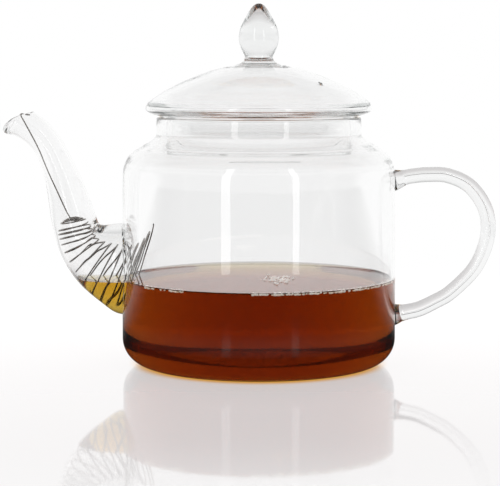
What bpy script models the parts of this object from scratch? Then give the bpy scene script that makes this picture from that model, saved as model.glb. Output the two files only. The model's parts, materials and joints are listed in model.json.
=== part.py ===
"""A clear glass teapot with tea in it, a lift-off domed lid and a coiled wire strainer in its spout.

Metres, +Z up. The origin is on the pot's vertical axis at its flat base. The spout points to -X and the
handle to +X. Lengths below are written in millimetres and turned into metres by MM.
"""

import math

import bmesh
import bpy
import numpy as np
from mathutils import Vector

MM = 0.001
GAP = 0.3  # between pieces that touch or are fused on the real pot

# Pot
BODY_RADIUS = 63.9
BODY_WALL = 1.6
BASE_RADIUS = 51.5
BASE_THICKNESS = 2.6
BASE_CORNER = 12.4
CORNER_THICKENING = 1.0  # extra glass in the corner between the base and the wall
WALL_TOP = 76.0
NECK_RADIUS = 47.6
NECK_WALL = 1.8
NECK_FOOT = 107.6
RIM_TOP = 115.4
BODY_SIDES = 48

# Hole in the wall that the spout is fused over
HOLE_RADIUS = 15.0
HOLE_HEIGHT = 42.0
HOLE_CUT_START = -45.0
HOLE_CUT_LENGTH = 30.0

# Spout
SPOUT_WALL = 1.0
SPOUT_LOWER_WALL = 0.8
SPOUT_SIDES = 24

# Handle
ROD_RADIUS = 3.5
ROD_SIDES = 14

# Lid
LID_WALL = 1.8
FLANGE_RADIUS = 43.0
FLANGE_FOOT = 100.0
DOME_TOP = 140.0
DOME_FOOT = RIM_TOP + GAP
LID_EDGE_CENTRE = (50.4, 119.6)
LID_EDGE_RADIUS = 2.2
LID_EDGE_WALL = 1.4
VENT_RADIUS = 1.0
VENT_DISTANCE = 36.5
VENT_ANGLE = math.radians(-41.0)
VENT_CUT_START = 122.0
VENT_CUT_LENGTH = 20.0
FLANGE_CLEARANCE = 0.2  # on top of GAP, between the flange and the dome
KNOB_SIDES = 24

# Strainer
WIRE_RADIUS = 0.33
COIL_POINTS_PER_TURN = 14
COIL_TURNS = 14
CAP_RADIUS = 6.4
CAP_TURNS = 4.25
CAP_CENTRE = (-87.0, 66.1)
CAP_TILT = math.radians(12.0)
CAP_RISE = 2.2
CAP_EYE = 0.9  # radius at which the spiral starts

# Tea
TEA_LEVEL = 39.9
SLEEVE_MARGIN = 1.6
SLEEVE_SIDES = 20
SLEEVE_END_ROW = (-55.7, 36.6, -46.3, 71.4, 18.0)


def clear_scene():
    for old in list(bpy.data.objects):
        bpy.data.objects.remove(old, do_unlink=True)


def material(name, colour, roughness, metallic=0.0, transmission=0.0):
    made = bpy.data.materials.new(name)
    made.use_nodes = True
    shader = made.node_tree.nodes["Principled BSDF"]
    shader.inputs["Base Color"].default_value = (*colour, 1.0)
    shader.inputs["Roughness"].default_value = roughness
    shader.inputs["Metallic"].default_value = metallic
    shader.inputs["Transmission Weight"].default_value = transmission
    return made


def finish_mesh(name, bm, surface, smooth_angle=40.0):
    """Turn a bmesh in millimetres into a named object in metres with its faces pointing out."""
    bmesh.ops.remove_doubles(bm, verts=bm.verts, dist=0.001)
    bmesh.ops.recalc_face_normals(bm, faces=bm.faces)
    bmesh.ops.scale(bm, vec=(MM, MM, MM), verts=bm.verts)
    mesh = bpy.data.meshes.new(name)
    bm.to_mesh(mesh)
    bm.free()
    mesh.shade_smooth()
    mesh.set_sharp_from_angle(angle=math.radians(smooth_angle))
    made = bpy.data.objects.new(name, mesh)
    bpy.context.collection.objects.link(made)
    if surface:
        made.data.materials.append(surface)
    return made


def hide_cutter(cutter):
    cutter.hide_render = True
    cutter.display_type = "WIRE"
    return cutter


def cut(target, cutter):
    """Take the cutter's volume out of the target with a live Boolean."""
    boolean = target.modifiers.new("cut_" + cutter.name, "BOOLEAN")
    boolean.operation = "DIFFERENCE"
    boolean.solver = "EXACT"
    boolean.object = cutter


def turned(name, profile, surface, sides, closed_ring=True, base=(0, 0, 0), axis=(0, 0, 1)):
    """Spin a profile of (radius, height) points round an axis through base."""
    bm = bmesh.new()
    points = [bm.verts.new((radius, 0.0, height)) for radius, height in profile]
    edges = [bm.edges.new(pair) for pair in zip(points, points[1:])]
    if closed_ring:
        edges.append(bm.edges.new((points[-1], points[0])))
    bmesh.ops.spin(
        bm, geom=points + edges, cent=(0, 0, 0), axis=(0, 0, 1), angle=math.tau, steps=sides,
        use_merge=True,
    )
    turn = Vector((0, 0, 1)).rotation_difference(Vector(axis)).to_matrix()
    bmesh.ops.rotate(bm, cent=(0, 0, 0), matrix=turn, verts=bm.verts)
    bmesh.ops.translate(bm, vec=base, verts=bm.verts)
    return finish_mesh(name, bm, surface)


def rod_profile(radius, length):
    """Half the outline of a solid cylinder, from the middle of one end to the middle of the other."""
    return [(0.0, 0.0), (radius, 0.0), (radius, length), (0.0, length)]


def arc(centre, radius, start, end, count):
    """Points on a circle in the (radius, height) plane, angles in degrees."""
    angles = [math.radians(start + (end - start) * i / count) for i in range(count + 1)]
    return [(centre[0] + radius * math.cos(a), centre[1] + radius * math.sin(a)) for a in angles]


def smooth_curve(points, count):
    """Sample a Catmull-Rom curve through rows of numbers, spaced evenly from row to row."""
    rows = np.array(points, float)
    padded = np.vstack([2 * rows[0] - rows[1], rows, 2 * rows[-1] - rows[-2]])
    place = np.linspace(0, len(rows) - 1, count)
    first = np.minimum(place.astype(int), len(rows) - 2)
    t = (place - first)[:, None]
    a, b, c, d = (padded[first + i] for i in range(4))
    return 0.5 * (2 * b + (c - a) * t + (2 * a - 5 * b + 4 * c - d) * t**2 + (3 * b - a - 3 * c + d) * t**3)


def tube_of_rings(name, rings, surface, looped):
    """Join equal rings of points with quads. A looped tube closes on itself, as a pipe's two walls do."""
    bm = bmesh.new()
    loops = [[bm.verts.new(point) for point in ring] for ring in rings]
    pairs = list(zip(loops, loops[1:]))
    if looped:
        pairs.append((loops[-1], loops[0]))
    for low, high in pairs:
        for i in range(len(low)):
            j = (i + 1) % len(low)
            bm.faces.new((low[i], low[j], high[j], high[i]))
    if not looped:
        bm.faces.new(list(reversed(loops[0])))
        bm.faces.new(loops[-1])
    return finish_mesh(name, bm, surface)


def wire(name, points, surface, radius=WIRE_RADIUS):
    """A round wire along points in millimetres."""
    curve = bpy.data.curves.new(name, "CURVE")
    curve.dimensions = "3D"
    curve.bevel_depth = radius * MM
    curve.bevel_resolution = 1
    curve.use_fill_caps = True
    spline = curve.splines.new("POLY")
    spline.points.add(len(points) - 1)
    for knot, place in zip(spline.points, points):
        knot.co = (*(Vector(place) * MM), 1.0)
    curve.materials.append(surface)
    made = bpy.data.objects.new(name, curve)
    bpy.context.collection.objects.link(made)
    return made


def body_outside(grow=0.0):
    """The pot's outer profile from the middle of the base up to the neck, moved outwards by grow."""
    corner = arc((BASE_RADIUS, BASE_CORNER), BASE_CORNER + grow, -90, 0, 5)
    shoulder = [(63.7, WALL_TOP), (63.3, 89.6), (62.2, 94.2), (60.2, 97.7), (57.1, 100.4)]
    foot_of_neck = [(53.8, 102.3), (50.4, 104.4), (48.4, 106.0), (NECK_RADIUS, NECK_FOOT)]
    return [(0.0, -grow)] + corner + [(r + grow, z) for r, z in shoulder + foot_of_neck]


def body_inside(shrink=0.0):
    """The pot's inner profile from the middle of its floor up to the neck, moved inwards by shrink."""
    corner_radius = BASE_CORNER - BODY_WALL - CORNER_THICKENING
    centre = (BODY_RADIUS - BODY_WALL - corner_radius, BASE_THICKNESS + corner_radius)
    corner = arc(centre, corner_radius - shrink, -90, 0, 5)
    shoulder = [(62.1, WALL_TOP), (61.7, 89.2), (60.7, 93.2), (58.9, 96.2), (56.1, 98.7)]
    foot_of_neck = [(52.9, 100.5), (49.3, 102.6), (46.7, 105.0), (NECK_RADIUS - NECK_WALL, NECK_FOOT)]
    return [(0.0, BASE_THICKNESS + shrink)] + corner + [(r - shrink, z) for r, z in shoulder + foot_of_neck]


def make_pot_body(glass):
    bead = NECK_WALL / 2
    rim = arc((NECK_RADIUS - bead, RIM_TOP - bead), bead, 0, 180, 4)
    profile = body_outside() + rim + list(reversed(body_inside()))
    pot = turned("pot_body", profile, glass, BODY_SIDES, closed_ring=False)
    drill = turned(
        "hole_cutter", rod_profile(HOLE_RADIUS, HOLE_CUT_LENGTH), None, SPOUT_SIDES,
        closed_ring=False, base=(HOLE_CUT_START, 0.0, HOLE_HEIGHT), axis=(-1, 0, 0),
    )
    cut(pot, hide_cutter(drill))
    return pot


# Each row is one cross-section of the spout, from inside the pot wall to the mouth: the (x, z) of its upper
# side, the (x, z) of its lower side, half its width, and the glass at its upper side, lower side and flanks.
SPOUT_SECTIONS = [
    (-57.0, 65.8, -57.0, 23.0, 20.4, 4.6, 3.0, 3.6),
    (-66.0, 65.6, -66.0, 23.4, 20.2, 4.4, 2.8, 3.4),
    (-71.5, 64.9, -73.6, 28.4, 18.4, 3.6, 2.2, 2.8),
    (-74.2, 65.1, -82.4, 35.8, 15.6, 2.4, 1.6, 2.0),
    (-74.9, 65.9, -88.8, 43.9, 13.2, 1.8, SPOUT_WALL, SPOUT_WALL),
    (-75.3, 66.7, -93.6, 53.4, 11.6, 1.5, SPOUT_WALL, SPOUT_WALL),
    (-75.9, 68.3, -96.4, 64.4, 10.8, SPOUT_WALL, SPOUT_WALL, SPOUT_WALL),
    (-78.3, 75.4, -97.6, 71.6, 10.3, SPOUT_WALL, SPOUT_WALL, SPOUT_WALL),
    (-82.0, 85.3, -98.5, 79.2, 9.8, SPOUT_WALL, SPOUT_WALL, SPOUT_WALL),
    (-86.4, 94.8, -100.0, 88.1, 9.4, SPOUT_WALL, SPOUT_LOWER_WALL, SPOUT_WALL),
    (-91.5, 104.6, -103.5, 97.5, 9.0, SPOUT_WALL, SPOUT_LOWER_WALL, SPOUT_WALL),
    (-96.4, 111.0, -108.0, 103.1, 9.0, SPOUT_WALL, SPOUT_LOWER_WALL, SPOUT_WALL),
    (-100.5, 114.9, -112.8, 107.2, 9.3, SPOUT_WALL, SPOUT_WALL, SPOUT_WALL),
    (-104.4, 117.8, -118.8, 109.8, 9.6, SPOUT_WALL, SPOUT_WALL, SPOUT_WALL),
]


def spout_ring(row, inside, steps=SPOUT_SIDES):
    """One oval ring of the spout's outer or inner wall."""
    upper, lower = np.array([row[0], 0.0, row[1]]), np.array([row[2], 0.0, row[3]])
    half_width = row[4]
    if inside:
        down = (lower - upper) / np.linalg.norm(lower - upper)
        upper = upper + down * row[5]
        lower = lower - down * row[6]
        half_width -= row[7]
    centre, reach = (upper + lower) / 2, (lower - upper) / 2
    angles = [math.tau * i / steps for i in range(steps)]
    return [centre + reach * math.cos(a) + np.array([0, half_width, 0]) * math.sin(a) for a in angles]


def make_spout(glass):
    rows = smooth_curve(SPOUT_SECTIONS, 2 * len(SPOUT_SECTIONS) - 1)
    outside = [spout_ring(row, False) for row in rows]
    inside = [spout_ring(row, True) for row in rows]
    spout = tube_of_rings("spout", outside + inside[::-1], glass, looped=True)
    profile = body_outside(GAP) + [(0.0, NECK_FOOT)]
    cut(spout, hide_cutter(turned("wall_cutter", profile, None, BODY_SIDES, closed_ring=False)))
    return spout


# Each row is a place on the handle's middle line, (x, z), and the glass's radius there. The first and last rows
# lie inside the pot's wall, which is then cut away.
UPPER_WELD_ROWS = [(58.0, 85.0, 6.4), (64.4, 86.2, 4.7), (68.2, 87.2, 3.6), (72.0, 87.9, ROD_RADIUS)]
ROD_ROWS = [
    (78.8, 88.7, ROD_RADIUS), (88.3, 88.0, ROD_RADIUS), (98.3, 83.3, ROD_RADIUS), (105.4, 73.6, ROD_RADIUS),
    (107.4, 63.4, ROD_RADIUS), (105.6, 53.6, ROD_RADIUS), (100.4, 43.4, ROD_RADIUS), (90.0, 33.1, ROD_RADIUS),
    (82.4, 28.6, ROD_RADIUS),
]
LOWER_WELD_ROWS = [(75.4, 25.3, 3.6), (69.6, 23.9, 3.7), (66.3, 23.3, 4.2), (63.8, 22.9, 5.2), (58.0, 22.4, 6.4)]
ROWS_BETWEEN = 3  # rings from one row to the next


def carried_rod(name, rows, glass):
    """A round section of changing radius carried along (x, z) rows."""
    path = rows[:, :2]
    ahead = np.gradient(path, axis=0)
    ahead /= np.linalg.norm(ahead, axis=1)[:, None]
    rings = []
    for (x, z, radius), (dx, dz) in zip(rows, ahead):
        angles = [math.tau * i / ROD_SIDES for i in range(ROD_SIDES)]
        rings.append(
            [
                (x - dz * radius * math.cos(a), radius * math.sin(a), z + dx * radius * math.cos(a))
                for a in angles
            ]
        )
    return tube_of_rings(name, rings, glass, looped=False)


def pull_back(rows, end):
    """Shorten a run of rows by GAP at its start (end=0) or its end (end=-1)."""
    rows = rows.copy()
    neighbour = rows[1] if end == 0 else rows[-2]
    step = neighbour[:2] - rows[end][:2]
    rows[end][:2] += GAP * step / np.linalg.norm(step)
    return rows


def make_handle(glass):
    """The rod and the two gathers of glass that hold it, which spread on to the wall."""
    table = UPPER_WELD_ROWS + ROD_ROWS + LOWER_WELD_ROWS
    rows = smooth_curve(table, ROWS_BETWEEN * (len(table) - 1) + 1)
    first = ROWS_BETWEEN * (len(UPPER_WELD_ROWS) - 1)
    last = len(rows) - ROWS_BETWEEN * len(LOWER_WELD_ROWS)
    carried_rod("handle", rows[first : last + 1], glass)
    welds = {
        "handle_upper_weld": pull_back(rows[: first + 1], -1),
        "handle_lower_weld": pull_back(rows[last:], 0),
    }
    for name, part_rows in welds.items():
        cut(carried_rod(name, part_rows, glass), bpy.data.objects["wall_cutter"])


def make_lid(glass):
    outside = [
        (0.0, DOME_TOP), (7.6, DOME_TOP), (14.0, 138.9), (23.3, 136.6), (32.7, 133.1), (42.0, 128.6),
        (48.4, 124.6), (51.4, 122.2),
    ]
    edge = arc(LID_EDGE_CENTRE, LID_EDGE_RADIUS, 50, -70, 4)
    underside = [(47.0, DOME_FOOT + 0.3), (FLANGE_RADIUS + 1.4, DOME_FOOT), (FLANGE_RADIUS - LID_WALL, DOME_FOOT)]
    fold = arc(LID_EDGE_CENTRE, LID_EDGE_RADIUS - LID_EDGE_WALL, -70, 50, 3)
    foot = [(FLANGE_RADIUS - LID_WALL, DOME_FOOT + LID_WALL), (46.6, DOME_FOOT + LID_WALL + 0.1)]
    inside = foot + fold + [
        (47.4, 122.9), (41.1, 127.0), (32.0, 131.4), (22.8, 134.8), (13.7, 137.1), (0.0, DOME_TOP - LID_WALL),
    ]
    dome = turned("lid_dome", outside + edge + underside + inside, glass, BODY_SIDES, closed_ring=False)
    vent_place = (VENT_DISTANCE * math.cos(VENT_ANGLE), VENT_DISTANCE * math.sin(VENT_ANGLE), VENT_CUT_START)
    vent = turned(
        "vent_cutter", rod_profile(VENT_RADIUS, VENT_CUT_LENGTH), None, KNOB_SIDES // 2,
        closed_ring=False, base=vent_place,
    )
    cut(dome, hide_cutter(vent))
    top, inner = DOME_FOOT - GAP - FLANGE_CLEARANCE, FLANGE_RADIUS - LID_WALL
    bead = LID_WALL / 2
    foot = arc((FLANGE_RADIUS - bead, FLANGE_FOOT + bead), bead, 0, -180, 4)
    turned("lid_flange", [(FLANGE_RADIUS, top)] + foot + [(inner, top)], glass, BODY_SIDES)
    collar = [(0, 140.3), (7.6, 140.3), (7.5, 141.2), (6.9, 142.3), (6.6, 143.5), (0, 143.5)]
    turned("lid_collar", collar, glass, KNOB_SIDES, closed_ring=False)
    knob = [
        (0, 143.8), (6.6, 143.8), (7.3, 145.4), (8.7, 148.5), (9.35, 152.2), (8.8, 155.8), (7.1, 159.7),
        (5.2, 163.1), (3.6, 165.6), (2.0, 167.2), (0, 167.8),
    ]
    turned("lid_knob", knob, glass, KNOB_SIDES, closed_ring=False)


# Each row is one turn of the strainer's coil, from under its cap to inside the pot: the (x, z) of its far end on
# the spout's side, the (x, z) of its near end on the pot's side, and half its width.
COIL_TURNS_TABLE = [
    (-93.4, 63.1, -79.9, 66.1, 7.0), (-93.9, 61.3, -78.2, 64.2, 8.0), (-93.5, 59.4, -76.8, 62.8, 8.4),
    (-92.8, 57.0, -75.6, 61.3, 8.8), (-91.8, 53.8, -74.5, 59.7, 9.2), (-89.9, 49.6, -72.9, 58.3, 9.7),
    (-87.0, 44.9, -70.8, 57.2, 10.4), (-83.2, 40.2, -68.2, 56.5, 11.2), (-78.6, 36.0, -65.6, 55.9, 11.9),
    (-73.7, 32.8, -62.9, 55.4, 12.5), (-69.4, 31.5, -59.8, 55.4, 12.9), (-66.4, 31.3, -56.7, 56.3, 13.4),
    (-64.0, 31.2, -53.7, 58.6, 14.6), (-61.6, 31.8, -51.3, 61.8, 15.8), (-59.4, 32.7, -49.4, 65.3, 17.0),
]


def on_turn(row, angle, margin=0.0):
    """The point at an angle round one oval turn: near end, front, far end, back. margin widens the turn."""
    far, near = np.array([row[0], 0.0, row[1]]), np.array([row[2], 0.0, row[3]])
    centre, reach = (near + far) / 2, (near - far) / 2
    reach *= 1 + margin / np.linalg.norm(reach)
    return centre + reach * math.cos(angle) - np.array([0.0, row[4] + margin, 0.0]) * math.sin(angle)


def coil_points(rows):
    """A point for each row, carried round the turns while the rows move along the strainer."""
    step = math.tau * COIL_TURNS / (len(rows) - 1)
    return [tuple(on_turn(row, step * i)) for i, row in enumerate(rows)]


def cap_points():
    """A close spiral from the middle outwards, slightly domed, in the leaning plane of the coil's top turn."""
    count = int(CAP_TURNS * COIL_POINTS_PER_TURN)
    points = []
    for i in range(count + 1):
        share = i / count
        radius, angle = CAP_EYE + (CAP_RADIUS - CAP_EYE) * share, math.tau * CAP_TURNS * share
        across, rise = radius * math.cos(angle), CAP_RISE * (1 - share**2)
        points.append(
            (
                CAP_CENTRE[0] + across * math.cos(CAP_TILT) - rise * math.sin(CAP_TILT),
                radius * math.sin(angle),
                CAP_CENTRE[1] + across * math.sin(CAP_TILT) + rise * math.cos(CAP_TILT),
            )
        )
    return points


STEM_PATH = [
    (-88.4, 68.3), (-90.7, 72.9), (-95.1, 82.6), (-97.7, 88.4), (-100.1, 94.2), (-102.1, 99.2), (-104.6, 104.6),
    (-108.8, 112.4), (-110.2, 114.6), (-111.0, 116.0), (-110.4, 116.8), (-109.2, 116.5), (-107.8, 116.0),
    (-106.1, 116.2),
]


def make_strainer(steel):
    wire("strainer_cap", cap_points(), steel)
    rows = smooth_curve(COIL_TURNS_TABLE, COIL_TURNS * COIL_POINTS_PER_TURN + 1)
    wire("strainer_coil", coil_points(rows), steel)
    wire("strainer_stem", [(x, 0.0, z) for x, z in STEM_PATH], steel)


def make_tea(tea):
    """The pot's filling, kept clear of the coil by a loose sleeve round it."""
    profile = [(r, z) for r, z in body_inside(GAP) if z < TEA_LEVEL]
    profile += [(BODY_RADIUS - BODY_WALL - GAP, TEA_LEVEL), (0, TEA_LEVEL)]
    filling = turned("tea", profile, tea, BODY_SIDES, closed_ring=False)
    sleeve_rows = COIL_TURNS_TABLE[8:] + [SLEEVE_END_ROW]
    angles = [math.tau * i / SLEEVE_SIDES for i in range(SLEEVE_SIDES)]
    rings = [[on_turn(row, a, SLEEVE_MARGIN) for a in angles] for row in smooth_curve(sleeve_rows, 8)]
    cut(filling, hide_cutter(tube_of_rings("coil_sleeve", rings, None, looped=False)))


def main():
    clear_scene()
    glass = material("clear_glass", (0.95, 0.97, 0.97), 0.02, transmission=1.0)
    steel = material("steel_wire", (0.55, 0.54, 0.52), 0.3, metallic=1.0)
    tea = material("black_tea", (0.32, 0.07, 0.02), 0.05, transmission=0.6)
    make_pot_body(glass)
    make_spout(glass)
    make_handle(glass)
    make_lid(glass)
    make_strainer(steel)
    make_tea(tea)


main()
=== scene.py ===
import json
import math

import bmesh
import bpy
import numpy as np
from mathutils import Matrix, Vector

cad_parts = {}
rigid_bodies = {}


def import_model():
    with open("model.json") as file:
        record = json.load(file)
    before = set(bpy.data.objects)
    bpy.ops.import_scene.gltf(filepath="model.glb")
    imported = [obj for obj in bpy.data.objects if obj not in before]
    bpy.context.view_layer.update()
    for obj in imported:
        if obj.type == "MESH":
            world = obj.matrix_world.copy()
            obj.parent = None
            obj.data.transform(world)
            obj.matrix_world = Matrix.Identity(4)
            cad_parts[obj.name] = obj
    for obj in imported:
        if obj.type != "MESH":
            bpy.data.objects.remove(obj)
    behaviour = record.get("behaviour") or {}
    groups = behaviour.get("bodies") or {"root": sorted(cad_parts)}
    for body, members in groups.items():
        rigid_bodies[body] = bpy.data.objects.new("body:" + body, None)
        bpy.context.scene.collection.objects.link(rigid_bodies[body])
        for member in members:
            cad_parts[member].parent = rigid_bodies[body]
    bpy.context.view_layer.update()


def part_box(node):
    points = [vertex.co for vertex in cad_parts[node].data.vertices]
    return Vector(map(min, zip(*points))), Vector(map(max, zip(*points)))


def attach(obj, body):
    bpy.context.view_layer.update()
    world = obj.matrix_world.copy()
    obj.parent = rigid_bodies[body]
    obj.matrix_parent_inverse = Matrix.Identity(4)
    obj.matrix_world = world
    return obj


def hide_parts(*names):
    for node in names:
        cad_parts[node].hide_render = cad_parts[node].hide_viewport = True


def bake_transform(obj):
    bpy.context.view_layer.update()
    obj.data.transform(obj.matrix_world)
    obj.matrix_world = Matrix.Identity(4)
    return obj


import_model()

# %% [markdown]
# # A glass teapot, half full of black tea
#
# This lesson dresses a teapot whose solid parts are already placed. The real pot is worked at a lamp from
# borosilicate glass: a blown body, a drawn spout and a bent rod are fused together while they are soft, so
# on the real thing they are one piece of glass with smooth welds. The lid is a second piece of glass, and
# the strainer is one length of steel wire.
#
# The parts that came with the frame are faceted, which is fine for testing fits but shows at once in glass,
# where every facet bends the light its own way. So each one is made again here as a fine smooth surface in
# the same place. The shapes are worked out in millimetres, and MM turns them into metres as each mesh is
# made. The table, the lights and the camera are in metres.

MM = 0.001
pot_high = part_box("pot_body")[1]
lid_low, lid_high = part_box("lid_dome")
body_radius = float(pot_high[1]) / MM
rim_top = float(pot_high[2]) / MM
tea_level = float(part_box("tea")[1][2]) / MM
print(f"pot {2 * body_radius:.1f} mm across, rim at {rim_top:.1f} mm, tea up to {tea_level:.1f} mm")

# %% [markdown]
# ## Tools for outlines
#
# An outline is a few points that a glass worker would measure with a gauge. A Catmull-Rom curve passes
# through all of them and keeps its direction at each, so a handful of points gives a smooth wall. Arcs give
# the true round corners.

# %% Smooth curves and arcs
def through(rows, count):
    """Points on a Catmull-Rom curve through rows: on each span a cubic that leaves each row parallel to
    the line between its two neighbours. Returns count points, evenly spaced from row to row."""
    rows = np.array(rows, float)
    padded = np.vstack([2 * rows[0] - rows[1], rows, 2 * rows[-1] - rows[-2]])
    place = np.linspace(0, len(rows) - 1, count)
    first = np.minimum(place.astype(int), len(rows) - 2)
    t = (place - first)[:, None]
    a, b, c, d = (padded[first + i] for i in range(4))
    square = (2 * a - 5 * b + 4 * c - d) * t**2
    cube = (3 * b - a - 3 * c + d) * t**3
    return 0.5 * (2 * b + (c - a) * t + square + cube)


def arc(centre, radius, start, end, count):
    """Points on a circle: centre + radius (cos a, sin a), with a going evenly from start to end degrees."""
    angle = np.radians(np.linspace(start, end, count))
    return np.array(centre) + radius * np.column_stack([np.cos(angle), np.sin(angle)])


def evenly(points, count):
    """The same path with count points at equal distances along it, read off by its running length."""
    points = np.array(points, float)
    run = np.r_[0, np.cumsum(np.linalg.norm(np.diff(points, axis=0), axis=1))]
    wanted = np.linspace(0, run[-1], count)
    return np.column_stack([np.interp(wanted, run, column) for column in points.T])


# %% [markdown]
# ## From a grid of points to a mesh
#
# Every surface here is a function of two parameters: how far along and how far round. Its points are worked
# out as one array with a row for each step along. Numbering them row by row makes the faces an array as
# well, so no loop visits a vertex. Points that meet, as at a pole, are then merged, and the faces are
# turned to point out.

# %% Grid to mesh
def piece_from_faces(name, points, faces, merge=1e-7):
    """A smooth piece from points in millimetres and faces that number them. Points nearer to each other than
    merge, in metres, become one, and the faces are turned to point out."""
    mesh = bpy.data.meshes.new(name)
    mesh.from_pydata((points.reshape(-1, 3) * MM).tolist(), [], faces)
    bm = bmesh.new()
    bm.from_mesh(mesh)
    bmesh.ops.remove_doubles(bm, verts=bm.verts, dist=merge)
    bmesh.ops.recalc_face_normals(bm, faces=bm.faces)
    bm.to_mesh(mesh)
    bm.free()
    mesh.shade_smooth()
    made = bpy.data.objects.new(name, mesh)
    bpy.context.collection.objects.link(made)
    return made


def piece_from_grid(name, grid, close_rows=False, caps=False):
    """Quads between each row of the grid and the next, each row being a closed ring. close_rows joins the
    last row to the first, as in a pipe with two walls. caps closes the two end rings with flat faces."""
    rows, columns = grid.shape[:2]
    number = np.arange(rows * columns).reshape(rows, columns)
    low = number if close_rows else number[:-1]
    high = np.roll(number, -1, axis=0) if close_rows else number[1:]
    quads = np.stack([low, np.roll(low, -1, 1), np.roll(high, -1, 1), high], axis=-1)
    faces = quads.reshape(-1, 4).tolist()
    if caps:
        faces += [number[0].tolist()[::-1], number[-1].tolist()]
    return piece_from_faces(name, grid, faces)


def turned(name, profile, sides):
    """A profile of (radius, height) turned once round the Z axis: (r cos a, r sin a, z)."""
    angle = np.linspace(0, math.tau, sides, endpoint=False)
    radius, height = np.array(profile, float).T
    grid = np.stack(
        [
            radius[:, None] * np.cos(angle),
            radius[:, None] * np.sin(angle),
            np.repeat(height[:, None], sides, axis=1),
        ],
        axis=-1,
    )
    return piece_from_grid(name, grid)


def joined(piece, other, operation, sharp_angle=35.0):
    """Fuse another closed piece on to this one, or cut it away, and keep only the result."""
    boolean = piece.modifiers.new("join", "BOOLEAN")
    boolean.operation = operation
    boolean.solver = "EXACT"
    boolean.object = other
    bpy.context.view_layer.update()
    evaluated = piece.evaluated_get(bpy.context.evaluated_depsgraph_get())
    result = bpy.data.meshes.new_from_object(evaluated)
    piece.modifiers.clear()
    piece.data = result
    result.name = piece.name
    bpy.data.objects.remove(other, do_unlink=True)
    result.shade_smooth()
    result.set_sharp_from_angle(angle=math.radians(sharp_angle))
    return piece


# %% [markdown]
# ## The pot's two walls
#
# A blown body is turned in the flame, so it is a solid of revolution: one outline for the outside, one for
# the inside, and a fire-polished bead where they meet at the rim. The base is flat, with a round corner.

# %% Body outlines
wall = 1.6
base_thickness = 2.6
base_corner = 12.4
neck_radius = 47.6
neck_wall = 1.8
neck_foot = 107.6
outline_top = 110.5
corner_points = 24
rise_points = 92
around = 224


def body_outline():
    """Outside, from the middle of the base to the straight part of the neck, as (radius, height)."""
    corner = arc((body_radius - base_corner, base_corner), base_corner, -90, 0, corner_points)
    rise = through(
        [
            (body_radius, 24.0), (body_radius, 40.0), (body_radius - 0.1, 62.0), (body_radius - 0.25, 78.0),
            (body_radius - 0.6, 89.6), (62.2, 94.2), (60.2, 97.7), (57.1, 100.4), (53.8, 102.3),
            (50.4, 104.4), (48.4, 106.1), (neck_radius, neck_foot), (neck_radius, outline_top),
        ],
        rise_points,
    )
    return np.vstack([[(0.0, 0.0), (25.0, 0.0), (45.0, 0.0)], corner, rise])


def cavity_outline(grow=0.0):
    """Inside, from the middle of the floor to the straight part of the neck, moved outwards by grow."""
    radius = base_corner - wall - 1.0
    inner = body_radius - wall
    corner = arc((inner - radius, base_thickness + radius), radius + grow, -90, 0, corner_points)
    rise = through(
        [
            (inner, 24.0), (inner, 40.0), (inner - 0.1, 62.0), (inner - 0.25, 78.0), (inner - 0.6, 89.2),
            (60.7, 93.2), (58.9, 96.2), (56.1, 98.7), (52.9, 100.5), (49.3, 102.6), (46.7, 105.0),
            (neck_radius - neck_wall, neck_foot), (neck_radius - neck_wall, outline_top),
        ],
        rise_points,
    )
    rise[:, 0] += grow
    floor = base_thickness - grow
    return np.vstack([[(0.0, floor), (25.0, floor), (45.0, floor)], corner, rise])


bead = neck_wall / 2
rim = arc((neck_radius - bead, rim_top - bead), bead, 0, 180, 17)
vessel = turned("glass_vessel", np.vstack([body_outline(), rim, cavity_outline()[::-1]]), around)
print(f"body: {len(vessel.data.polygons)} faces")

# %% [markdown]
# ## The spout
#
# The spout is a glass tube, pulled narrow and bent while hot, with its foot flared over a hole in the wall.
# It is a run of oval sections. Each is given by where its upper and its lower side are in the pot's middle
# plane, and by half its width; the glass is thick at the weld and thin further up. The rows between are
# interpolated, and a half-round bead closes the two walls at the mouth. The lip is turned down for a clean
# pour. Its lower side is left thicker, and its two flanks run a little ahead of the middle, so the mouth is
# bowed.

# %% Spout sections
spout_wall = 1.0
lower_wall = 0.8
rim_bow = 1.6
bowed_rings = 16
bead_steps = 9
# upper x and z, lower x and z, half width, glass at the upper side, the lower side and the flanks
spout_sections = [
    (-57.0, 65.8, -57.0, 23.0, 20.4, 4.6, 3.0, 3.6),
    (-66.0, 65.6, -66.0, 23.4, 20.2, 4.4, 2.8, 3.4),
    (-71.5, 64.9, -73.6, 28.4, 18.4, 3.6, 2.2, 2.8),
    (-74.2, 65.1, -82.4, 35.8, 15.6, 2.4, 1.6, 2.0),
    (-74.9, 65.9, -88.8, 43.9, 13.2, 1.8, spout_wall, spout_wall),
    (-75.3, 66.7, -93.6, 53.4, 11.6, 1.5, spout_wall, spout_wall),
    (-75.9, 68.3, -96.4, 64.4, 10.8, spout_wall, spout_wall, spout_wall),
    (-78.3, 75.4, -97.6, 71.6, 10.3, spout_wall, spout_wall, spout_wall),
    (-82.0, 85.3, -98.5, 79.2, 9.8, spout_wall, spout_wall, spout_wall),
    (-86.4, 94.8, -100.0, 88.1, 9.4, spout_wall, lower_wall, spout_wall),
    (-91.5, 104.6, -103.5, 97.5, 9.0, spout_wall, lower_wall, spout_wall),
    (-96.4, 111.0, -108.0, 103.1, 9.0, spout_wall, lower_wall, spout_wall),
    (-100.5, 114.9, -113.2, 106.6, 9.3, spout_wall, spout_wall, spout_wall),
    (-103.2, 116.9, -117.4, 107.6, 9.5, spout_wall, 1.6, spout_wall),
    (-104.4, 117.8, -118.9, 108.8, 9.6, spout_wall, 2.5, spout_wall),
]


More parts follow.
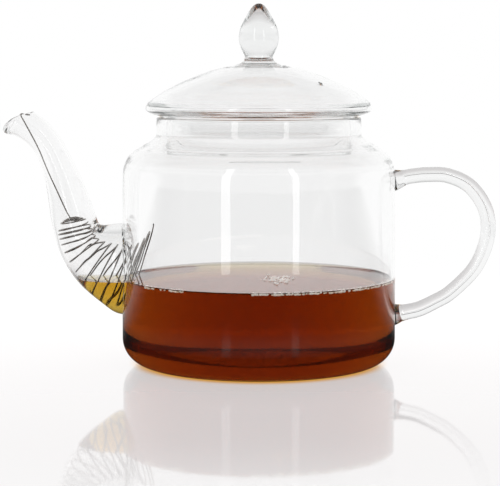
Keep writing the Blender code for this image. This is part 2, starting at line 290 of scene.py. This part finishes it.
def oval_rings(rows, inset, sides):
    """One oval ring for each row: centre + reach cos a + half width sin a, where reach runs from the centre
    to the lower side. inset (0 to 1) moves the ring inwards by that share of the glass."""
    upper = np.column_stack([rows[:, 0], np.zeros(len(rows)), rows[:, 1]])
    lower = np.column_stack([rows[:, 2], np.zeros(len(rows)), rows[:, 3]])
    down = (lower - upper) / np.linalg.norm(lower - upper, axis=1)[:, None]
    upper, lower = upper + down * rows[:, 5:6] * inset, lower - down * rows[:, 6:7] * inset
    centre, reach = (upper + lower) / 2, (lower - upper) / 2
    half = (rows[:, 4] - rows[:, 7] * inset)[:, None] * np.array([0.0, 1.0, 0.0])
    angle = np.linspace(0, math.tau, sides, endpoint=False)[None, :, None]
    return centre[:, None] + reach[:, None] * np.cos(angle) + half[:, None] * np.sin(angle)


def bowed(rings):
    """Rings whose flanks run ahead by rim_bow sin a sin a at the mouth. Going back from the mouth, the bow
    fades to nothing over the last bowed_rings rings, as the square of the share that is left."""
    ahead = (rings[-1] - rings[-2]).mean(axis=0)
    ahead /= np.linalg.norm(ahead)
    flank = np.sin(np.linspace(0, math.tau, rings.shape[1], endpoint=False)) ** 2
    fade = np.clip(np.arange(-len(rings) + 1, 1) / bowed_rings + 1, 0, 1) ** 2
    return rings + rim_bow * fade[:, None, None] * flank[None, :, None] * ahead


def tube_with_bead(rows, sides):
    """Outer rings, a half-round bead at the mouth and inner rings: middle + outward cos b + ahead sin b."""
    outside, inside = bowed(oval_rings(rows, 0.0, sides)), bowed(oval_rings(rows, 1.0, sides))
    middle, outward = (outside[-1] + inside[-1]) / 2, (outside[-1] - inside[-1]) / 2
    ahead = middle - (outside[-2] + inside[-2]) / 2
    ahead *= np.linalg.norm(outward, axis=1)[:, None] / np.linalg.norm(ahead, axis=1)[:, None]
    turn = np.radians(np.linspace(0, 180, bead_steps))[1:-1, None, None]
    bead_rings = middle + outward * np.cos(turn) + ahead * np.sin(turn)
    return np.concatenate([outside, bead_rings, inside[::-1]])


spout_sides = 96
spout_ring_count = 118
spout_rows = through(spout_sections, spout_ring_count)
spout = piece_from_grid("spout", tube_with_bead(spout_rows, spout_sides), close_rows=True)
print(f"spout: {len(spout.data.polygons)} faces")

# %% [markdown]
# ## The handle
#
# The handle is a solid rod of glass bent to a C. A gather of hot glass spreads it on to the wall at each
# end. A round section is carried along its middle line, and its radius grows at the two welds. Drawn rod
# often has a fine thread of air along it; cut out of the rod, it shows as a thin grey line.

# %% Handle rod
rod = 3.5
handle_sides = 48
# the thread of air: its radius, how far outside the rod's middle it lies, and the rings it leaves out at the
# upper and the lower weld
thread = 0.28
thread_offset = 0.5
thread_rings = slice(16, -18)
# x and z of the rod's middle line, and its radius
handle_rows = [
    (58.0, 85.0, 6.4), (64.4, 86.2, 4.7), (68.2, 87.2, 3.6), (72.0, 87.9, rod), (78.8, 88.5, rod),
    (88.3, 88.0, rod), (98.3, 83.3, rod), (105.4, 73.6, rod), (107.4, 63.4, rod), (105.6, 53.6, rod),
    (100.4, 43.4, rod), (90.0, 33.1, rod), (82.4, 28.6, rod), (75.4, 25.3, 3.6), (69.6, 23.9, 3.7),
    (66.3, 23.3, 4.2), (63.8, 22.9, 5.2), (58.0, 22.4, 6.4),
]


def heading(path):
    """The path's direction at each point: the step between its two neighbours, made one unit long."""
    ahead = np.gradient(path, axis=0)
    return ahead / np.linalg.norm(ahead, axis=1)[:, None]


def carried_round(path, radius, sides, square_to=(0.0, 1.0, 0.0)):
    """A round section carried along a path of (x, y, z): place + radius (side cos a + over sin a). The side
    direction is square to the path and to square_to, and over is square to the path and to side."""
    ahead = heading(path)
    side = np.cross(ahead, square_to)
    side /= np.linalg.norm(side, axis=1)[:, None]
    over = np.cross(ahead, side)
    angle = np.linspace(0, math.tau, sides, endpoint=False)[None, :, None]
    radius = np.broadcast_to(np.asarray(radius, float), len(path))[:, None, None]
    return path[:, None] + radius * (side[:, None] * np.cos(angle) + over[:, None] * np.sin(angle))


def outward_of(path):
    """The direction square to a path in the middle plane, on the outer side of its bend."""
    return np.cross(heading(path), [0.0, 1.0, 0.0])


def in_middle_plane(curve):
    """A curve of (x, z) as points (x, 0, z)."""
    return np.column_stack([curve[:, 0], np.zeros(len(curve)), curve[:, 1]])


handle_curve = through(handle_rows, 150)
handle_path = in_middle_plane(handle_curve)
handle = piece_from_grid("handle", carried_round(handle_path, handle_curve[:, 2], handle_sides), caps=True)
thread_path = (handle_path + thread_offset * outward_of(handle_path))[thread_rings]
air_thread = piece_from_grid("air_thread", carried_round(thread_path, thread, 12), caps=True)
joined(handle, air_thread, "DIFFERENCE")
print(f"handle: {len(handle.data.polygons)} faces")

# %% [markdown]
# ## Fusing the glass
#
# Light that crosses from one body of glass into another bends at the join unless they are one surface, so
# the three are fused with Booleans, as the flame does. The spout and the handle first lose what lies inside
# the pot, down to the middle of its wall, so that no two surfaces lie on each other. The hole through the
# wall is cut a touch narrower than the spout's bore, which leaves the small step that a real weld has.

# %% Fuse body, spout and handle
hole_height = 42.0
hole_radius = 14.6
drill_from = -50.0
drill_to = -72.0


def inner_block(name):
    """The pot's cavity grown to the middle of its wall, closed at the neck."""
    outline = cavity_outline(grow=wall / 2)
    return turned(name, np.vstack([outline, [(0.0, outline[-1, 1])]]), around)


def hole_drill():
    """A cylinder along X through the wall where the spout is."""
    path = in_middle_plane(np.column_stack([np.linspace(drill_from, drill_to, 3), np.full(3, hole_height)]))
    return piece_from_grid("hole_drill", carried_round(path, hole_radius, spout_sides), caps=True)


joined(spout, inner_block("block"), "DIFFERENCE")
joined(handle, inner_block("block"), "DIFFERENCE")
joined(vessel, hole_drill(), "DIFFERENCE")
joined(vessel, spout, "UNION")
joined(vessel, handle, "UNION")
print(f"vessel: {len(vessel.data.polygons)} faces")

# %% [markdown]
# ## The lid
#
# The lid is blown and fused from a dome, a round flange that drops into the neck, a small collar and a
# solid drop of glass for the knob. All of it is round, so one closed outline makes it: down the outside
# from the tip of the knob, round the edge, down the flange and back up the inside. Then the vent hole is
# cut.

# %% Lid outline
lid_wall = 1.8
flange_radius = 43.0
flange_foot = 100.0
dome_foot = float(lid_low[2]) / MM
dome_top = float(lid_high[2]) / MM
edge_centre = (50.4, 119.6)
edge_radius = 2.2
edge_wall = 1.4
collar_edge = (14.0, 138.9)
vent_radius = 1.0
vent_distance = 36.5
vent_angle = math.radians(-41.0)
vent_heights = (122.0, 142.0)


def knob_outline():
    """The drop and its collar, from the tip down to the dome."""
    return through(
        [
            (0.0, 167.8), (1.6, 167.4), (3.4, 165.8), (5.1, 163.2), (7.0, 159.8), (8.6, 156.1), (9.35, 152.2),
            (8.8, 148.7), (7.5, 145.6), (6.6, 143.6), (6.6, 142.6), (7.3, 141.2), (9.4, dome_top - 0.1),
            collar_edge,
        ],
        80,
    )


def dome_outline():
    """The outside of the dome from the collar to its edge."""
    rows = [collar_edge, (23.3, 136.6), (32.7, 133.1), (42.0, 128.6), (48.4, 124.6), (51.6, 122.0)]
    return through(rows, 36)


def lid_underside():
    """The rounded edge, the step that rests on the rim, the flange, the fold inside the edge, and the hollow
    under the dome, back to the axis."""
    edge = arc(edge_centre, edge_radius, 48, -70, 12)
    step = through(
        [
            (49.0, 116.6), (46.8, dome_foot + 0.35), (44.6, dome_foot), (43.4, dome_foot - 0.6),
            (flange_radius, dome_foot - 2.0), (flange_radius, dome_foot - 5.0),
        ],
        24,
    )
    half = lid_wall / 2
    foot = arc((flange_radius - half, flange_foot + half), half, 0, -180, 13)
    inner = flange_radius - lid_wall
    shelf = through(
        [(inner, flange_foot + 3.0), (inner, 112.0), (inner, 116.4), (42.6, 118.0), (46.6, 118.5)],
        40,
    )
    fold = arc(edge_centre, edge_radius - edge_wall, -70, 50, 12)
    hollow = through(
        [
            (47.4, 122.9), (41.1, 127.0), (32.0, 131.4), (22.8, 134.8), (13.7, 137.1), (6.0, 138.1),
            (0.0, dome_top - lid_wall),
        ],
        60,
    )
    return np.vstack([edge, step, foot, shelf, fold, hollow])


def upright_round(name, path, radius, sides):
    """A cylinder that stands along Z: each ring is level, centre + radius (cos a, sin a)."""
    angle = np.linspace(0, math.tau, sides, endpoint=False)
    level = np.column_stack([np.cos(angle), np.sin(angle), np.zeros(sides)]) * radius
    return piece_from_grid(name, path[:, None] + level[None], caps=True)


lid = turned("glass_lid", np.vstack([knob_outline(), dome_outline()[1:], lid_underside()]), around)
vent = (vent_distance * math.cos(vent_angle), vent_distance * math.sin(vent_angle))
vent_path = np.column_stack([np.tile(vent, (3, 1)), np.linspace(*vent_heights, 3)])
joined(lid, upright_round("vent_drill", vent_path, vent_radius, 24), "DIFFERENCE")
print(f"lid: {len(lid.data.polygons)} faces")

# %% [markdown]
# ## The strainer
#
# The strainer is one steel wire: a close spiral cap, a coil that widens as it goes round the elbow and
# through the hole into the pot, and a straight stem up to the mouth with a hook that rests on the rim. The
# coil's last turns are wider than the hole, which is what keeps it in. It is made in three runs, since the
# coil stretches when the stem is pulled.

# %% Wire runs
wire_radius = 0.33
wire_sides = 12
upward = (0.0, 0.0, 1.0)
coil_turns = 14
coil_points_a_turn = 48
# one row a turn: x and z of its far end, x and z of its near end, and half its width
coil_rows = [
    (-93.4, 63.1, -79.9, 66.1, 7.0), (-93.9, 61.3, -78.2, 64.2, 8.0), (-93.5, 59.4, -76.8, 62.8, 8.4),
    (-92.8, 57.0, -75.6, 61.3, 8.8), (-91.8, 53.8, -74.5, 59.7, 9.2), (-89.9, 49.6, -72.9, 58.3, 9.7),
    (-87.0, 44.9, -70.8, 57.2, 10.4), (-83.2, 40.2, -68.2, 56.5, 11.2), (-78.6, 36.0, -65.6, 55.9, 11.9),
    (-73.7, 32.8, -62.9, 55.4, 12.5), (-69.4, 31.5, -59.8, 55.4, 12.9), (-66.4, 31.3, -56.7, 56.3, 13.4),
    (-64.0, 31.2, -53.7, 58.6, 14.6), (-61.6, 31.8, -51.3, 61.8, 15.8), (-59.4, 32.7, -49.4, 65.3, 17.0),
]
cap_centre = (-87.0, 66.1)
cap_eye = 0.9
cap_radius = 6.4
cap_turns = 4.25
cap_points_a_turn = 40
cap_tilt = math.radians(12.0)
cap_rise = 2.2
# x and z of the stem, from the cap to the end that hooks over the rim
stem_rows = [
    (-88.4, 68.3), (-90.7, 72.9), (-95.1, 82.6), (-97.7, 88.4), (-100.1, 94.2), (-102.1, 99.2),
    (-104.6, 104.6), (-108.8, 112.4), (-110.2, 114.6), (-111.0, 116.0), (-110.4, 116.8), (-109.2, 116.5),
    (-107.8, 116.0), (-106.1, 116.2),
]


def leaning_circle(centre, radius, angle, lean, rise=0.0):
    """Points at an angle round a circle whose plane leans: across = radius cos a along (cos lean, sin lean),
    radius sin a along Y, and rise along the plane's own normal."""
    across = radius * np.cos(angle)
    return np.column_stack(
        [
            centre[:, 0] + across * np.cos(lean) - rise * np.sin(lean),
            radius * np.sin(angle),
            centre[:, 1] + across * np.sin(lean) + rise * np.cos(lean),
        ]
    )


def coil_path():
    """Oval turns: middle + reach cos a, from the middle to the near end, and half width sin a towards the
    front. The angle goes round coil_turns times while the ends and the width follow the rows."""
    rows = through(coil_rows, coil_turns * coil_points_a_turn + 1)
    far, near = rows[:, 0:2], rows[:, 2:4]
    angle = np.linspace(0, math.tau * coil_turns, len(rows))
    place = (near + far) / 2 + (near - far) / 2 * np.cos(angle)[:, None]
    return np.column_stack([place[:, 0], -rows[:, 4] * np.sin(angle), place[:, 1]])


def cap_path():
    """A flat spiral whose radius grows evenly with the angle, raised towards the middle like a saucer."""
    share = np.linspace(0, 1, int(cap_turns * cap_points_a_turn))
    radius = cap_eye + (cap_radius - cap_eye) * share
    centre = np.tile(cap_centre, (len(share), 1))
    return leaning_circle(centre, radius, math.tau * cap_turns * share, cap_tilt, cap_rise * (1 - share**2))


def stem_path():
    """The stem's curve in the middle plane, with its points at equal distances."""
    return in_middle_plane(evenly(through(stem_rows, 120), 110))


def wire(name, path, square_to):
    """A run of wire with flat ends: a round section carried along the path."""
    return piece_from_grid(name, carried_round(path, wire_radius, wire_sides, square_to), caps=True)


coil = wire("strainer_coil_wire", coil_path(), upward)
cap = wire("strainer_cap_wire", cap_path(), upward)
stem = wire("strainer_stem_wire", stem_path(), (0.0, 1.0, 0.0))
run = np.linalg.norm(np.diff(coil_path(), axis=0), axis=1).sum()
print(f"coil: {run:.0f} mm of wire, {len(coil.data.polygons)} faces")

# %% [markdown]
# ## The tea
#
# Tea wets glass, so its surface climbs a little where it meets the wall. That thin wedge is what draws the
# dark line round the waterline. The climb falls off with distance from the wall as exp(-distance / length).
# The liquid reaches a hair into the glass, so that no film of air lies between them. The tea in the spout
# stands at the same height, because the two are joined through the hole.

# %% Tea body and spout tea
into_glass = 0.06
climb = 0.9
climb_length = 0.8
# how far from the wall the surface's first ring inwards is
first_step = 0.15
# how many of the spout's rings, from its foot, the tea is cut from
spout_tea_rings = 64


def tea_height(wall_distance):
    """The surface's height: tea_level + climb exp(-distance from the wall / climb_length)."""
    return tea_level + climb * np.exp(-wall_distance / climb_length)


def tea_outline():
    """Up the wall from the floor to the waterline, then in across the surface to the axis."""
    wet = cavity_outline(grow=into_glass)
    wet = wet[wet[:, 1] < tea_level]
    edge = body_radius - wall + into_glass
    radius = edge - np.r_[0, np.geomspace(first_step, edge, 40)]
    radius[-1] = 0.0
    return np.vstack([wet, np.column_stack([radius, tea_height(edge - radius)])])


def spout_tea():
    """The lower part of the spout's bore, a hair oversize, cut off level just above the waterline by a block
    that stands over it."""
    rows = spout_rows[:spout_tea_rings].copy()
    rows[:, 5:8] -= into_glass
    core = piece_from_grid("spout_tea", oval_rings(rows, 1.0, spout_sides), caps=True)
    corners = np.array([(-150.0, -60.0), (-30.0, -60.0), (-30.0, 60.0), (-150.0, 60.0)])
    heights = (tea_level + 0.2, tea_level + 90.0)
    block = np.stack([np.column_stack([corners, np.full(4, height)]) for height in heights])
    return joined(core, piece_from_grid("above", block, caps=True), "DIFFERENCE")


tea = turned("tea_liquid", tea_outline(), around)
joined(tea, spout_tea(), "UNION")
print(f"tea: {len(tea.data.polygons)} faces")

# %% [markdown]
# ## Bubbles
#
# Pouring leaves small bubbles that gather along the waterline, and a patch of foam near the middle. Each is
# a little ball that floats half out of the tea. There are about two hundred, so each has few faces, and a
# seeded random generator gives the same bubbles every time.

# %% Floating bubbles
# bearings are in degrees from the handle, with the front at -90
front_run = (-94, -14, 130)
left_run = (-146, -122, 20)
patch_count = 60
patch_spread = (4.2, 7.0)
patch_middle = (9.0, -6.0)


def ball_grid(centres, radii, rows=7, columns=10):
    """Balls as one array: for each, rings at height -cos v with radius sin v, times its own radius."""
    v, u = np.linspace(0, math.pi, rows), np.linspace(0, math.tau, columns, endpoint=False)
    unit = np.stack(
        [
            np.sin(v)[:, None] * np.cos(u),
            np.sin(v)[:, None] * np.sin(u),
            np.repeat(-np.cos(v)[:, None], columns, 1),
        ],
        axis=-1,
    )
    return centres[:, None, None] + radii[:, None, None, None] * unit[None]


def bubble_places():
    """Centres and radii: one run along the front of the waterline, a few at its left, and the foam patch."""
    random = np.random.default_rng(11)
    inner = body_radius - wall
    bearing = np.radians(np.r_[random.uniform(*front_run), random.uniform(*left_run)])
    radii = random.uniform(0.4, 0.9, len(bearing))
    reach = inner - radii - random.exponential(0.8, len(bearing))
    ring = np.column_stack([reach * np.cos(bearing), reach * np.sin(bearing)])
    patch = random.normal(0, 1, (patch_count, 2)) * patch_spread + patch_middle
    patch_radii = random.uniform(0.35, 0.9, len(patch))
    places = np.vstack([ring, patch])
    radii = np.r_[radii, patch_radii]
    height = tea_height(inner - np.hypot(*places.T)) + 0.15 * radii
    return np.column_stack([places, height]), radii


def bubbles():
    """All the balls as one piece, with quads between the rings of each."""
    grids = ball_grid(*bubble_places())
    count, rows, columns = grids.shape[:3]
    number = np.arange(count * rows * columns).reshape(count, rows, columns)
    low, high = number[:, :-1], number[:, 1:]
    quads = np.stack([low, np.roll(low, -1, 2), np.roll(high, -1, 2), high], axis=-1)
    return piece_from_faces("tea_bubbles", grids, quads.reshape(-1, 4).tolist(), merge=1e-8)


foam = bubbles()
print(f"bubbles: {len(foam.data.polygons)} faces")

# %% [markdown]
# ## Glass
#
# Clear borosilicate has an index of 1.47. What shows a clear wall is not its colour but its depth: seen
# edge on, light runs through centimetres of it and comes out dimmer, so a faint grey-green absorption gives
# the edges their line. Hand-worked glass is never quite even, so a very shallow, tall ripple bends the
# highlights.

# %% Glass finish
def new_material(name):
    """A material with its node tree and its main shader."""
    made = bpy.data.materials.new(name)
    made.use_nodes = True
    return made, made.node_tree, made.node_tree.nodes["Principled BSDF"]


def ripple(tree, shader, scale, stretch, depth, detail=1.0):
    """Noise on object coordinates, drawn out along Z, as the height of a bump."""
    place = tree.nodes.new("ShaderNodeTexCoord")
    mapping = tree.nodes.new("ShaderNodeMapping")
    mapping.inputs["Scale"].default_value = (1.0, 1.0, stretch)
    noise = tree.nodes.new("ShaderNodeTexNoise")
    noise.inputs["Scale"].default_value = scale
    noise.inputs["Detail"].default_value = detail
    bump = tree.nodes.new("ShaderNodeBump")
    bump.inputs["Strength"].default_value = 1.0
    bump.inputs["Distance"].default_value = depth
    tree.links.new(place.outputs["Object"], mapping.inputs["Vector"])
    tree.links.new(mapping.outputs["Vector"], noise.inputs["Vector"])
    tree.links.new(noise.outputs["Fac"], bump.inputs["Height"])
    tree.links.new(bump.outputs["Normal"], shader.inputs["Normal"])
    return noise


def depth_tint(tree, colour, density):
    """Plain absorption: each colour falls as exp(-(1 - colour) * density * depth in metres)."""
    volume = tree.nodes.new("ShaderNodeVolumeAbsorption")
    volume.inputs["Color"].default_value = (*colour, 1.0)
    volume.inputs["Density"].default_value = density
    tree.links.new(volume.outputs["Volume"], tree.nodes["Material Output"].inputs["Volume"])


def clear_glass():
    """Smooth clear glass with a faint grey-green depth."""
    made, tree, shader = new_material("clear_glass")
    shader.inputs["Base Color"].default_value = (1.0, 1.0, 1.0, 1.0)
    shader.inputs["Roughness"].default_value = 0.0
    shader.inputs["IOR"].default_value = 1.47
    shader.inputs["Transmission Weight"].default_value = 1.0
    ripple(tree, shader, scale=55.0, stretch=0.35, depth=0.00012)
    depth_tint(tree, (0.50, 0.53, 0.52), 14.0)
    return made


def dressed(piece, material):
    """The piece wears this material and no other."""
    piece.data.materials.clear()
    piece.data.materials.append(material)


glass = clear_glass()
dressed(vessel, glass)
dressed(lid, glass)
print(f"{glass.name} on {vessel.name} and {lid.name}")

# %% [markdown]
# ## Tea colour
#
# Tea is clear, and its colour is depth alone. The absorption is set so that the two centimetres in the
# spout are amber and the twelve across the pot are a deep red-brown.

# %% Tea finish
def black_tea():
    """Clear liquid that takes out blue most, then green, then a little red."""
    made, tree, shader = new_material("black_tea")
    shader.inputs["Base Color"].default_value = (1.0, 1.0, 1.0, 1.0)
    shader.inputs["Roughness"].default_value = 0.0
    shader.inputs["IOR"].default_value = 1.333
    shader.inputs["Transmission Weight"].default_value = 1.0
    ripple(tree, shader, scale=90.0, stretch=1.0, depth=0.00003)
    depth_tint(tree, (0.898, 0.762, 0.20), 150.0)
    return made


def bubble_film():
    """A pale, shiny skin with a painted glow, which stands in for the light that foam gathers and scatters.
    """
    made, tree, shader = new_material("bubble_film")
    shader.inputs["Base Color"].default_value = (1.0, 0.95, 0.92, 1.0)
    shader.inputs["Roughness"].default_value = 0.15
    shader.inputs["IOR"].default_value = 1.33
    shader.inputs["Coat Weight"].default_value = 1.0
    # painted light: the emission gives the bubbles a pale glow in place of the light that falls on them
    shader.inputs["Emission Color"].default_value = (1.0, 0.93, 0.88, 1.0)
    shader.inputs["Emission Strength"].default_value = 0.32
    ripple(tree, shader, scale=900.0, stretch=1.0, depth=0.00002)
    return made


dressed(tea, black_tea())
dressed(foam, bubble_film())
print(f"{tea.data.materials[0].name} on {tea.name}, {foam.data.materials[0].name} on {foam.name}")

# %% [markdown]
# ## Steel wire
#
# Drawn stainless wire is grey and bright, with fine uneven specks, since tea has stained it in places. The
# paler specks are also the rougher ones.

# %% Steel finish
def steel_wire():
    """Bare metal whose fine noise sets both its colour and its roughness."""
    made, tree, shader = new_material("steel_wire")
    shader.inputs["Metallic"].default_value = 1.0
    noise = ripple(tree, shader, scale=1400.0, stretch=1.0, depth=0.00002, detail=4.0)
    ramp = tree.nodes.new("ShaderNodeValToRGB")
    ramp.color_ramp.elements[0].position = 0.3
    ramp.color_ramp.elements[0].color = (0.20, 0.18, 0.165, 1.0)
    ramp.color_ramp.elements[1].position = 0.75
    ramp.color_ramp.elements[1].color = (0.42, 0.39, 0.36, 1.0)
    rough = tree.nodes.new("ShaderNodeMapRange")
    rough.inputs["To Min"].default_value = 0.22
    rough.inputs["To Max"].default_value = 0.42
    tree.links.new(noise.outputs["Fac"], ramp.inputs["Fac"])
    tree.links.new(noise.outputs["Fac"], rough.inputs["Value"])
    tree.links.new(ramp.outputs["Color"], shader.inputs["Base Color"])
    tree.links.new(rough.outputs["Result"], shader.inputs["Roughness"])
    return made


steel = steel_wire()
for run_of_wire in (coil, cap, stem):
    dressed(run_of_wire, steel)
print(f"{steel.name} on three runs of wire")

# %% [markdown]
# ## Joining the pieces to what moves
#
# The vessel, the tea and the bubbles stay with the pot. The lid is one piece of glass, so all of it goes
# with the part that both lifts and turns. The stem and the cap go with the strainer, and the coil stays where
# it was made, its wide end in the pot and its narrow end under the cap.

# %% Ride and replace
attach(vessel, "pot")
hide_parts("pot_body", "spout", "handle", "handle_upper_weld", "handle_lower_weld")
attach(lid, "lid")
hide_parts("lid_dome", "lid_flange", "lid_collar", "lid_knob")
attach(tea, "pot")
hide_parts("tea")
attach(foam, "pot")
for piece, node in ((cap, "strainer_cap"), (stem, "strainer_stem")):
    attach(piece, "strainer")
    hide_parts(node)
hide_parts("strainer_coil")
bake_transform(coil)

# %% [markdown]
# ## Table
#
# The table is glossy and pale, so it mirrors the pot faintly. It gives off a little light of its own, which
# stands for a softbox above, and further out it fades into the same white as the surround, with no visible
# far edge. The patch right under the pot is amber, and its edge shows as a thin ring: it stands for the light
# that the tea throws there.
#
# Behind the viewer is a dark room, which keeps a pale veil off the tea. The table stands in for that too.
# From the pot's middle towards the viewer it is nearly dark for light paths that have been mirrored once,
# unless they leave it steeply at a place well clear of the pot.

# %% Table
table_radius = 4.0
# painted light: the amber pool on the table under the pot, for the light the tea throws there
amber = (1.0, 0.50, 0.06, 1.0)
near_white = (1.0, 0.975, 0.975, 1.0)
table_glow = 0.52
dark_glow = 0.02
# distances from the pot's axis, in metres, where each change starts and ends
painted_amber_pool_edge = (0.053, 0.062)
clear_of_pot = (0.11, 0.17)
table_to_surround = (0.16, 0.42)
# how far back, along Y, the table starts to be lit and is fully lit, and the same for a path's slope
lit_behind = (0.04, 0.30)
steep_slope = (0.14, 0.30)


def ramp_of(tree, source, start, end, low=0.0, high=1.0):
    """A number that goes smoothly from low to high as the source goes from start to end."""
    made = tree.nodes.new("ShaderNodeMapRange")
    made.interpolation_type = "SMOOTHSTEP"
    made.inputs["From Min"].default_value = start
    made.inputs["From Max"].default_value = end
    made.inputs["To Min"].default_value = low
    made.inputs["To Max"].default_value = high
    tree.links.new(source, made.inputs["Value"])
    return made.outputs["Result"]


def combined(tree, operation, first, second):
    """Two numbers combined by a Math node."""
    made = tree.nodes.new("ShaderNodeMath")
    made.operation = operation
    tree.links.new(first, made.inputs[0])
    tree.links.new(second, made.inputs[1])
    return made.outputs["Value"]


def parts_of(tree, vector):
    """The X, Y and Z of a vector."""
    made = tree.nodes.new("ShaderNodeSeparateXYZ")
    tree.links.new(vector, made.inputs["Vector"])
    return made.outputs


def mixed_shader(tree, share, first, second):
    """The first shader where the share is 0 and the second where it is 1."""
    made = tree.nodes.new("ShaderNodeMixShader")
    tree.links.new(share, made.inputs["Fac"])
    tree.links.new(first, made.inputs[1])
    tree.links.new(second, made.inputs[2])
    return made.outputs["Shader"]


def table_is_lit(tree, place, distance):
    """1 where the table is lit for a path and 0 where it is dark: the greatest of three numbers. They are how
    far behind the pot the place is, whether the path has not been mirrored exactly once, and how steep the
    path is times how clear of the pot the place is."""
    behind = ramp_of(tree, parts_of(tree, place)["Y"], *lit_behind)
    once = tree.nodes.new("ShaderNodeMath")
    once.operation = "COMPARE"
    once.inputs[1].default_value = 1.0
    once.inputs[2].default_value = 0.5
    tree.links.new(tree.nodes.new("ShaderNodeLightPath").outputs["Glossy Depth"], once.inputs[0])
    not_once = ramp_of(tree, once.outputs["Value"], 0.0, 1.0, 1.0, 0.0)
    incoming = tree.nodes.new("ShaderNodeNewGeometry").outputs["Incoming"]
    steep = ramp_of(tree, parts_of(tree, incoming)["Z"], *steep_slope)
    steep_and_clear = combined(tree, "MULTIPLY", steep, ramp_of(tree, distance, *clear_of_pot))
    return combined(tree, "MAXIMUM", combined(tree, "MAXIMUM", behind, not_once), steep_and_clear)


def table():
    """A wide disc at height 0: a glossy, slightly glowing middle with a painted amber pool of light under the
    pot, which fades into plain white light.
    """
    bpy.ops.mesh.primitive_circle_add(vertices=96, radius=table_radius, fill_type="NGON", location=(0, 0, 0))
    made = bpy.context.object
    made.name = "table"
    material, tree, shader = new_material("white_table")
    shader.inputs["Base Color"].default_value = (0.2, 0.195, 0.195, 1.0)
    shader.inputs["Roughness"].default_value = 0.04
    shader.inputs["Emission Strength"].default_value = table_glow
    place = tree.nodes.new("ShaderNodeTexCoord").outputs["Object"]
    length = tree.nodes.new("ShaderNodeVectorMath")
    length.operation = "LENGTH"
    tree.links.new(place, length.inputs[0])
    distance = length.outputs["Value"]
    # painted light: the glow turns amber under the pot, for the light the tea throws there
    glow = tree.nodes.new("ShaderNodeMix")
    glow.data_type = "RGBA"
    glow.inputs["A"].default_value = amber
    glow.inputs["B"].default_value = near_white
    tree.links.new(ramp_of(tree, distance, *painted_amber_pool_edge), glow.inputs["Factor"])
    tree.links.new(glow.outputs["Result"], shader.inputs["Emission Color"])
    far = tree.nodes.new("ShaderNodeEmission")
    dark = tree.nodes.new("ShaderNodeEmission")
    dark.inputs["Strength"].default_value = dark_glow
    spread = ramp_of(tree, distance, *table_to_surround)
    bright = mixed_shader(tree, spread, shader.outputs["BSDF"], far.outputs["Emission"])
    lit = table_is_lit(tree, place, distance)
    surface = mixed_shader(tree, lit, dark.outputs["Emission"], bright)
    tree.links.new(surface, tree.nodes["Material Output"].inputs["Surface"])
    made.data.materials.append(material)
    print(f"{made.name}: {2 * table_radius:.0f} m across")


table()

# %% [markdown]
# ## Light
#
# Clear glass is lit from behind: a white surround shows through it, and its edges read as lines. The
# surround is a little weaker overhead and half as strong on the viewer's side, so that the front of the
# glass doesn't mirror a white room. Two tall strips in front draw the upright highlights on the wall.

# %% Surround and strips
strip_reach = 0.5
strip_height = 0.25
strip_length = 0.5


def surround():
    """White light behind and to the sides, 0.7 of it overhead and half of it on the viewer's side, as the
    product of two ramps. What the camera sees directly is white everywhere."""
    world = bpy.data.worlds.new("surround")
    bpy.context.scene.world = world
    world.use_nodes = True
    tree = world.node_tree
    background = tree.nodes["Background"]
    background.inputs["Color"].default_value = (1.0, 1.0, 1.0, 1.0)
    direction = parts_of(tree, tree.nodes.new("ShaderNodeTexCoord").outputs["Generated"])
    height = ramp_of(tree, direction["Z"], 0.35, 0.85, 1.0, 0.7)
    depth = ramp_of(tree, direction["Y"], -0.5, 0.5, 0.5, 1.0)
    seen = tree.nodes.new("ShaderNodeLightPath").outputs["Is Camera Ray"]
    strength = combined(tree, "MAXIMUM", combined(tree, "MULTIPLY", height, depth), seen)
    tree.links.new(strength, background.inputs["Strength"])


def strip_light(name, bearing, width, power):
    """An upright strip at a bearing from the camera's side, seen only in reflections."""
    light = bpy.data.lights.new(name, "AREA")
    light.shape = "RECTANGLE"
    light.size = width
    light.size_y = strip_length
    light.energy = power
    made = bpy.data.objects.new(name, light)
    bpy.context.collection.objects.link(made)
    angle = math.radians(bearing)
    made.location = (strip_reach * math.sin(angle), -strip_reach * math.cos(angle), strip_height)
    made.rotation_euler = (math.radians(90), 0, angle)
    made.visible_camera = False
    made.visible_transmission = False


surround()
strip_light("left_strip", -25.6, 0.06, 0.33)
strip_light("right_strip", 28.5, 0.046, 0.26)
print(f"surround, and two strips {1000 * strip_length:.0f} mm tall")

# %% [markdown]
# ## Camera
#
# The camera stands 0.83 m in front of the pot at about the height of the lid, and looks down by nearly six
# degrees through a long lens, which keeps the pot's sides close to upright. Light in clear glass crosses
# many walls before it comes out, so its paths are followed for many more bounces than usual.

# %% Camera
def camera(place, pitch_down, focal_length):
    """A camera that looks along +Y from its place, turned down by pitch_down degrees."""
    data = bpy.data.cameras.new("camera")
    data.lens = focal_length
    data.sensor_width = 36.0
    made = bpy.data.objects.new("camera", data)
    bpy.context.collection.objects.link(made)
    made.location = place
    made.rotation_euler = (math.radians(90 - pitch_down), 0, 0)
    bpy.context.scene.camera = made
    print(f"camera: {data.lens:.0f} mm lens, {-place[1]:.2f} m in front")


camera(place=(-0.0041, -0.830, 0.141), pitch_down=5.82, focal_length=128.2)
bpy.context.scene.view_settings.view_transform = "Standard"
cycles = bpy.context.scene.cycles
cycles.max_bounces = 48
cycles.transmission_bounces = 32
cycles.glossy_bounces = 32
cycles.transparent_max_bounces = 16
